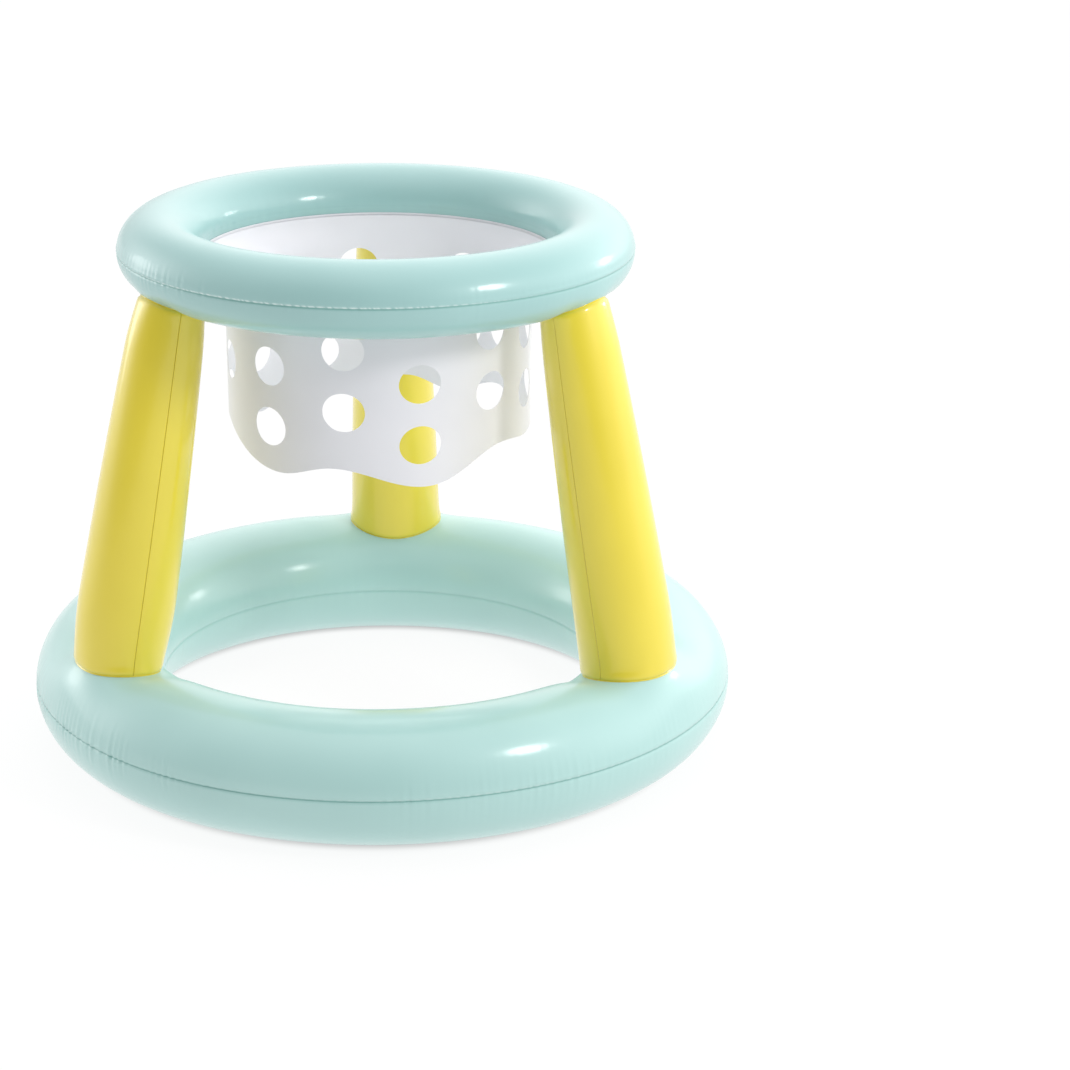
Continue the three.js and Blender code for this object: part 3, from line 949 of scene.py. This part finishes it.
def makeNet():
    bpy.ops.object.select_all(action="DESELECT")
    bpy.ops.mesh.primitive_grid_add(
        x_subdivisions=net["lengthSteps"],
        y_subdivisions=net["heightSteps"],
        size=1,
        rotation=(quarterTurn, 0, 0),
    )
    band = bpy.context.object
    applyPlace(band)
    places = readPlaces(band)
    shares = places[:, 0] + 0.5
    rows = places[:, 2] + 0.5
    lengths = shares * netLength
    turnShares = np.interp(lengths, lengthTable, turnTable)
    hem = np.array([hemHeight(share) for share in turnShares])
    places[:, 0] = lengths
    places[:, 1] = 0
    places[:, 2] = hem + (net["topHeight"] - hem) * rows
    writePlaces(band, places)
    faceOutwards(band)
    turnOverIf(band, lambda place: Vector((0, -1, 0)))
    applyModifier(band, "SOLIDIFY", thickness=net["thickness"], offset=0)
    punches = []
    for turnShare, lowest in netColumns:
        for height in (lowest * mm, lowest * mm + net["rowPitch"]):
            bpy.ops.object.select_all(action="DESELECT")
            bpy.ops.mesh.primitive_cylinder_add(
                vertices=net["holeSides"],
                radius=1,
                depth=8 * net["thickness"],
                location=(lengthAt(turnShare), 0, height),
                rotation=(quarterTurn, 0, 0),
                scale=(net["holeHalfWidth"], net["holeHalfHeight"], 1),
            )
            punches.append(bpy.context.object)
    punch = joinPieces(*punches)
    applyPlace(punch)
    applyModifier(band, "BOOLEAN", object=punch, operation="DIFFERENCE", solver="EXACT")
    removePiece(punch)
    places = readPlaces(band)
    turnShares = np.interp(places[:, 0], lengthTable, turnTable)
    outset = netSway(turnShares, places[:, 2]) - places[:, 1] - net["thickness"] / 2
    writePlaces(band, netOutline(turnShares, places[:, 2], outset))
    shadeSmooth(band, 50)
    return band


strip = {
    "height": 8 * mm,
    "rise": 2.4 * mm,
    "thickness": 0.5 * mm,
    "clearance": 0.3 * mm,
    "edge": 0.15 * mm,
    "roundSteps": 400,
    "heightCuts": 5,
}


def hoopMouthRadius(height):
    share = (height - hoopRing["centreHeight"]) / hoopRing["halfHeight"]
    return hoopRing["pathRadius"] - hoopRing["halfWidth"] * math.sqrt(1 - share ** 2)


def makeWeldStrip():
    # the strip between the net's top edge and the hoop ring, which shows a little above the net
    bottom = net["topHeight"] - strip["height"]
    top = net["topHeight"] + strip["rise"]
    bpy.ops.object.select_all(action="DESELECT")
    steps = strip["roundSteps"]
    bpy.ops.mesh.primitive_cylinder_add(vertices=steps, radius=1, depth=2, end_fill_type="NOTHING")
    band = bpy.context.object
    editPicked(band, "EDGE", lambda edge: isUpright(band, edge, 1))
    bpy.ops.mesh.subdivide(number_cuts=strip["heightCuts"])
    endEdit()
    places = readPlaces(band)
    heights = bottom + (top - bottom) * (places[:, 2] + 1) / 2
    gap = strip["clearance"] + strip["thickness"]
    radii = np.array([hoopMouthRadius(height) - gap for height in heights])
    writePlaces(band, np.stack([places[:, 0] * radii, places[:, 1] * radii, heights], axis=1))
    faceOutwards(band)
    turnOverIf(band, lambda place: Vector((-place.x, -place.y, 0)))
    thicken(band, strip["thickness"])
    roundEdges(band, strip["edge"])
    return band


tape = {
    "width": 10 * mm,
    "thickness": 0.4 * mm,
    "clearance": 0.3 * mm,
    "hemGap": 2 * mm,
    "edge": 0.12 * mm,
    "lengthSteps": 40,
    "acrossSteps": 6,
}


def makeSeamTape():
    # lies outside the net, over the upright seam at its back
    bpy.ops.object.select_all(action="DESELECT")
    bpy.ops.mesh.primitive_grid_add(
        x_subdivisions=tape["acrossSteps"],
        y_subdivisions=tape["lengthSteps"],
        size=1,
        rotation=(quarterTurn, 0, 0),
    )
    band = bpy.context.object
    applyPlace(band)
    places = readPlaces(band)
    turnShares = 0.5 + places[:, 0] * tape["width"] / (fullTurn * net["halfWidth"])
    bottom = hemHeight(0.5) + tape["hemGap"]
    top = net["topHeight"] - strip["height"] - tape["width"]
    heights = bottom + (top - bottom) * (places[:, 2] + 0.5)
    outset = netSway(turnShares, heights) + tape["clearance"] + tape["thickness"]
    writePlaces(band, netOutline(turnShares, heights, outset))
    faceOutwards(band)
    turnOverIf(band, lambda place: Vector((0, 1, 0)))
    thicken(band, tape["thickness"])
    roundEdges(band, tape["edge"])
    return band


# Valves: a socket welded to the film, a stem that pushes in, a check flap and a tethered cap

portRadius = 12 * mm  # lets the air through to each leg
valve = {
    # each one's ring, its turn round the ring and its turn up the tube
    "places": {
        "base": (baseRing, math.radians(62), math.radians(30)),
        "hoop": (hoopRing, math.radians(122), math.radians(22)),
    },
    "stemRadius": 5.8 * mm,
    "boreRadius": 3.5 * mm,
    "clearance": 0.3 * mm,
    "socketWall": 1 * mm,
    "socketDepth": 6 * mm,
    "socketRise": 2 * mm,
    "flangeRadius": 15 * mm,
    "flangeThickness": 0.8 * mm,
    "flangeEdge": 0.3 * mm,
    "flangeBands": (0.2, 0.45, 0.7, 0.9, 1),
    "rimWidth": 1.6 * mm,
    "rimThickness": 1.2 * mm,
    "travel": 10 * mm,
    "hingeReach": 8.4 * mm,
    "capRadius": 6.6 * mm,
    "capThickness": 1.2 * mm,
    "capDish": 0.3 * mm,
    "plugDepth": 4 * mm,
    "plugTopRadius": 3 * mm,
    "plugTipRadius": 2.3 * mm,
    "tabWidth": 4 * mm,
    "tabThickness": 0.8 * mm,
    "pullReach": 2.6 * mm,
    "flapRadius": 4.6 * mm,
    "flapThickness": 0.6 * mm,
    "flapHingeReach": 6.2 * mm,
    "roundSteps": 64,
    "edge": 0.22 * mm,
    "edgeSegments": 3,
    "edgeSharpest": 40,
    "searchIn": 20 * mm,
    "searchOut": 5 * mm,
}
socketBore = valve["stemRadius"] + valve["clearance"]
socketRadius = socketBore + valve["socketWall"]
rimRadius = valve["stemRadius"] + valve["rimWidth"]
stemSeat = valve["socketRise"] + valve["clearance"]
stemTop = stemSeat + valve["rimThickness"]
stemBeadTop = -valve["socketDepth"] - valve["clearance"] - valve["travel"]
stemBottom = stemBeadTop - valve["rimThickness"]
capSeat = stemTop + valve["clearance"]


def valveFrame(ring, azimuth, tubeAngle):
    # its origin is on the film, with Z out along the stem and X round the ring
    away = Vector((math.cos(azimuth), math.sin(azimuth), 0))
    up = Vector((0, 0, 1))
    out = away * math.cos(tubeAngle) / ring["halfWidth"]
    out += up * math.sin(tubeAngle) / ring["halfHeight"]
    out.normalize()
    around = up.cross(away)
    across = out.cross(around)
    centre = away * (ring["pathRadius"] + ring["halfWidth"] * math.cos(tubeAngle))
    centre += up * (ring["centreHeight"] + ring["halfHeight"] * math.sin(tubeAngle))
    local = Matrix((around, across, out)).transposed().to_4x4()
    local.translation = centre
    return local


def spun(profile):
    # a closed outline of (radius, height) points, spun round Z
    bpy.ops.object.select_all(action="DESELECT")
    bpy.ops.mesh.primitive_circle_add(vertices=len(profile), radius=1)
    piece = bpy.context.object
    writePlaces(piece, np.array([(radius, 0, height) for radius, height in profile]))
    startEdit(piece, "SELECT")
    bpy.ops.mesh.spin(steps=valve["roundSteps"], angle=fullTurn, center=(0, 0, 0), axis=(0, 0, 1))
    endEdit()
    mergeDoubles(piece)
    faceOutwards(piece)
    return piece


def tab(start, end, bottom, top):
    # a tongue with a round end
    bpy.ops.object.select_all(action="DESELECT")
    size = (abs(end - start), valve["tabWidth"], top - bottom)
    middle = ((start + end) / 2, 0, (bottom + top) / 2)
    bpy.ops.mesh.primitive_cube_add(size=1, location=middle, scale=size)
    tongue = bpy.context.object
    applyPlace(tongue)

    def isFarCorner(edge):
        atEnd = abs(tongue.data.vertices[edge.vertices[0]].co.x - end) < 1e-6
        return atEnd and isUpright(tongue, edge, 0.5 * size[2])

    editPicked(tongue, "EDGE", isFarCorner)
    bpy.ops.mesh.bevel(offset=0.45 * valve["tabWidth"], segments=8)
    endEdit()
    return tongue


def makeSocket(ring, matrix):
    lift = valve["clearance"]
    flangeTop = lift + valve["flangeThickness"]
    flangeWidth = valve["flangeRadius"] - socketRadius
    bands = [socketRadius + flangeWidth * share for share in valve["flangeBands"]]
    socket = spun([
        (socketBore, -valve["socketDepth"]),
        (socketRadius, -valve["socketDepth"]),
        (socketRadius, lift),
        *((radius, lift) for radius in bands),
        (bands[-1], flangeTop - valve["flangeEdge"]),
        *((radius, flangeTop) for radius in reversed(bands[:-1])),
        (socketRadius, flangeTop),
        (socketRadius, valve["socketRise"]),
        (socketBore, valve["socketRise"]),
    ])
    places = readPlaces(socket)
    radius = np.hypot(places[:, 0], places[:, 1])
    height = places[:, 2]
    onFlange = (radius > socketBore + 0.1 * mm) & (height > -1 * mm) & (height < flangeTop + 0.1 * mm)
    depths = -valve["searchIn"], valve["searchOut"]
    drop = filmBetween(ring, matrix, places[:, 0], places[:, 1], *depths)
    places[:, 2] += np.where(onFlange, drop, 0)
    writePlaces(socket, places)
    roundEdges(socket, valve["edge"], valve["edgeSegments"], valve["edgeSharpest"])
    return socket


def makeStem():
    stem = spun([
        (valve["boreRadius"], stemBottom),
        (rimRadius, stemBottom),
        (rimRadius, stemBeadTop),
        (valve["stemRadius"], stemBeadTop),
        (valve["stemRadius"], stemSeat),
        (rimRadius, stemSeat),
        (rimRadius, stemTop),
        (valve["boreRadius"], stemTop),
    ])
    joinPieces(stem, tab(-valve["stemRadius"], -valve["hingeReach"], stemSeat, stemTop))
    roundEdges(stem, valve["edge"], valve["edgeSegments"], valve["edgeSharpest"])
    return stem


def makeCap():
    capTop = capSeat + valve["capThickness"]
    dishBottom = capTop - valve["capDish"]
    cap = spun([
        (0, stemTop - valve["plugDepth"]),
        (valve["plugTipRadius"], stemTop - valve["plugDepth"]),
        (valve["plugTopRadius"], capSeat),
        (valve["capRadius"], capSeat),
        (valve["capRadius"], dishBottom),
        (0.85 * valve["capRadius"], capTop),
        (0.6 * valve["capRadius"], capTop),
        (0.5 * valve["capRadius"], dishBottom),
        (0, dishBottom),
    ])
    tabTop = capSeat + valve["tabThickness"]
    hingeTab = tab(-valve["plugTopRadius"], -valve["hingeReach"], capSeat, tabTop)
    pullTab = tab(valve["plugTopRadius"], valve["capRadius"] + valve["pullReach"], capSeat, tabTop)
    joinPieces(cap, hingeTab, pullTab)
    roundEdges(cap, valve["edge"], valve["edgeSegments"], valve["edgeSharpest"])
    return cap


def makeFlap():
    top = stemBottom - valve["clearance"]
    bottom = top - valve["flapThickness"]
    flap = spun([(0, bottom), (valve["flapRadius"], bottom), (valve["flapRadius"], top), (0, top)])
    joinPieces(flap, tab(0, valve["flapHingeReach"], bottom, top))
    roundEdges(flap, valve["edge"], valve["edgeSegments"], valve["edgeSharpest"])
    return flap


# Making and placing the pieces

for ring in (baseRing, hoopRing):
    for isUpper in (True, False):
        sheet = ringSheet(ring, isUpper)
        if isUpper:
            for valveRing, azimuth, tubeAngle in valve["places"].values():
                if valveRing is ring:
                    matrix = valveFrame(ring, azimuth, tubeAngle)
                    holeRadius = socketRadius + valve["clearance"]
                    cutHole(sheet, matrix.translation, matrix.col[2].to_3d(), holeRadius)
        if isUpper and ring is baseRing:
            for side in leg["turns"]:
                matrix = legFrame(side)
                centre = matrix @ Vector((0, 0, filmHeight(ring, side, np.zeros(1), np.zeros(1))[0]))
                cutHole(sheet, centre, matrix.col[2].to_3d(), portRadius)
        thicken(sheet, film["thickness"])
        shadeSmooth(sheet)
        node = ring["name"] + ("_upper_sheet" if isUpper else "_lower_sheet")
        ringFilm = baseFilm if ring is baseRing else hoopFilm
        finishPiece(sheet, node + "_film", ringFilm, "inflatable", [node])
    print(ring["name"], "made")

for side in leg["turns"]:
    pieces = {
        "outer_panel": lambda: legPanel(side, True),
        "inner_panel": lambda: legPanel(side, False),
        "foot_collar": lambda: weldCollar(baseRing, side),
        "head_collar": lambda: weldCollar(hoopRing, side),
    }
    for part, make in pieces.items():
        piece = make()
        piece.matrix_world = legFrame(side)
        applyPlace(piece)
        node = f"{side}_leg_{part}"
        finishPiece(piece, node + "_film", legFilm, "inflatable", [node])
print("legs made")

band = finishPiece(makeNet(), "net_band_film", netFilm, "inflatable", ["net_band"])
weldStrip = makeWeldStrip()
finishPiece(weldStrip, "net_weld_strip_film", netFilm, "inflatable", ["net_weld_strip"])
seamTape = makeSeamTape()
finishPiece(seamTape, "net_seam_tape_film", netFilm, "inflatable", ["net_seam_tape"])
print("net made, its oval is", round(netLength, 4), "m round")

for name, (ring, azimuth, tubeAngle) in valve["places"].items():
    matrix = valveFrame(ring, azimuth, tubeAngle)
    makers = {
        "socket": (lambda: makeSocket(ring, matrix), "inflatable"),
        "stem": (makeStem, name + "_stem"),
        "flap": (makeFlap, name + "_flap"),
        "cap": (makeCap, name + "_cap"),
    }
    for part, (make, body) in makers.items():
        piece = make()
        piece.matrix_world = matrix
        applyPlace(piece)
        node = f"{name}_valve_{part}"
        finishPiece(piece, node + "_vinyl", valveVinyl, body, [node])
print("valves made")


# Floor, light and camera

# The sky is an even glow with soft lobes on it, as large softboxes and a bright backdrop give: each is a
# turn from the right, a height in degrees, a tightness and a strength. The lights are small and give the
# highlights: place, size and watts. The paper glows to a clean white, but less under the base ring, where a
# real floor lies in shade.
stage = {
    "floorSize": 40,
    "floorColour": "#595959",
    "floorRoughness": 0.9,
    "floorGlow": 0.9,
    "shadeGlow": 0.45,
    "shadeFrom": 34 * mm,
    "shadeTo": 6 * mm,
    "skyGlow": 0.2,
    "lobes": [
        (0, 90, 4, 1.35),
        (90, 15, 10, 1.1),
        (90, 50, 10, 1.05),
        (45, 15, 10, 1.85),
        (0, 15, 10, 1.5),
        (-45, 20, 10, 0.6),
        (180, 15, 10, 0.4),
        (157, 12, 14, 2.2),
        (135, 15, 10, 0.5),
    ],
    "lights": [
        ("frontRight", (1.15, -0.9, 1.17), 0.32, 7.0),
        ("rearRight", (1.78, 0.96, 0.82), 0.36, 2.6),
        ("rearLeft", (-1.60, 0.69, 0.55), 0.6, 1.6),
    ],
    "aim": (0, 0, 0.25),
}

bpy.ops.object.select_all(action="DESELECT")
bpy.ops.mesh.primitive_plane_add(size=stage["floorSize"])
floor = bpy.context.object
floor.name = "studioFloor"
paper = bpy.data.materials.new("whiteSweepPaper")
paper.use_nodes = True
paperShader = paper.node_tree.nodes["Principled BSDF"]
paperShader.inputs["Base Color"].default_value = linearColour(stage["floorColour"])
paperShader.inputs["Roughness"].default_value = stage["floorRoughness"]
paperShader.inputs["Specular IOR Level"].default_value = 0
paperShader.inputs["Emission Color"].default_value = (1, 1, 1, 1)
spot = addNode(paper, "ShaderNodeTexCoord", {}).outputs["Object"]
reach = addNode(paper, "ShaderNodeVectorMath", {0: spot}, operation="LENGTH").outputs["Value"]
path = baseRing["pathRadius"]
fromRing = addNode(paper, "ShaderNodeMath", {0: reach, 1: path}, operation="SUBTRACT").outputs[0]
fromRing = addNode(paper, "ShaderNodeMath", {0: fromRing}, operation="ABSOLUTE").outputs[0]
lit = addNode(
    paper,
    "ShaderNodeMapRange",
    {
        "Value": fromRing,
        "From Min": stage["shadeTo"],
        "From Max": stage["shadeFrom"],
        "To Min": stage["shadeGlow"],
        "To Max": stage["floorGlow"],
    },
    interpolation_type="SMOOTHERSTEP",
).outputs["Result"]
paper.node_tree.links.new(lit, paperShader.inputs["Emission Strength"])
floor.data.materials.append(paper)

world = bpy.data.worlds.new("whiteStudio")
bpy.context.scene.world = world
world.use_nodes = True
background = world.node_tree.nodes["Background"]
sky = addNode(world, "ShaderNodeTexCoord", {}).outputs["Generated"]
glow = stage["skyGlow"]
for turn, height, tightness, strength in stage["lobes"]:
    turn, height = math.radians(turn), math.radians(height)
    axis = (math.cos(height) * math.cos(turn), math.cos(height) * math.sin(turn), math.sin(height))
    dot = addNode(world, "ShaderNodeVectorMath", {0: sky, 1: axis}, operation="DOT_PRODUCT")
    facing = addNode(world, "ShaderNodeMath", {0: dot.outputs["Value"], 1: 0}, operation="MAXIMUM")
    lobe = addNode(world, "ShaderNodeMath", {0: facing.outputs[0], 1: tightness}, operation="POWER")
    layers = {0: lobe.outputs[0], 1: strength, 2: glow}
    glow = addNode(world, "ShaderNodeMath", layers, operation="MULTIPLY_ADD").outputs[0]
world.node_tree.links.new(glow, background.inputs["Color"])
background.inputs["Strength"].default_value = 1

aim = Vector(stage["aim"])
for name, place, size, power in stage["lights"]:
    lamp = bpy.data.lights.new(name, "AREA")
    lamp.shape = "DISK"
    lamp.size = size
    lamp.energy = power
    box = bpy.data.objects.new(name, lamp)
    bpy.context.scene.collection.objects.link(box)
    box.location = place
    box.rotation_euler = (aim - Vector(place)).to_track_quat("-Z", "Y").to_euler()

photo = {
    "place": (0.14825, -2.6292, 1.1052),
    "downTilt": math.radians(19.11),
    "roll": math.radians(0.48),
    "focalPixels": 2882.72,
    "framePixels": 1070,
    "sensorWidth": 36,
    "farthest": 100,
}
camera = bpy.data.cameras.new("photoCamera")
camera.sensor_width = photo["sensorWidth"]
camera.lens = photo["focalPixels"] / photo["framePixels"] * camera.sensor_width
camera.clip_end = photo["farthest"]
cameraObject = bpy.data.objects.new("photoCamera", camera)
bpy.context.scene.collection.objects.link(cameraObject)
tilt = Matrix.Rotation(quarterTurn - photo["downTilt"], 4, "X")
roll = Matrix.Rotation(photo["roll"], 4, "Z")
cameraObject.matrix_world = Matrix.Translation(photo["place"]) @ tilt @ roll
bpy.context.scene.camera = cameraObject
bpy.context.scene.view_settings.view_transform = "Standard"
print("stage set")
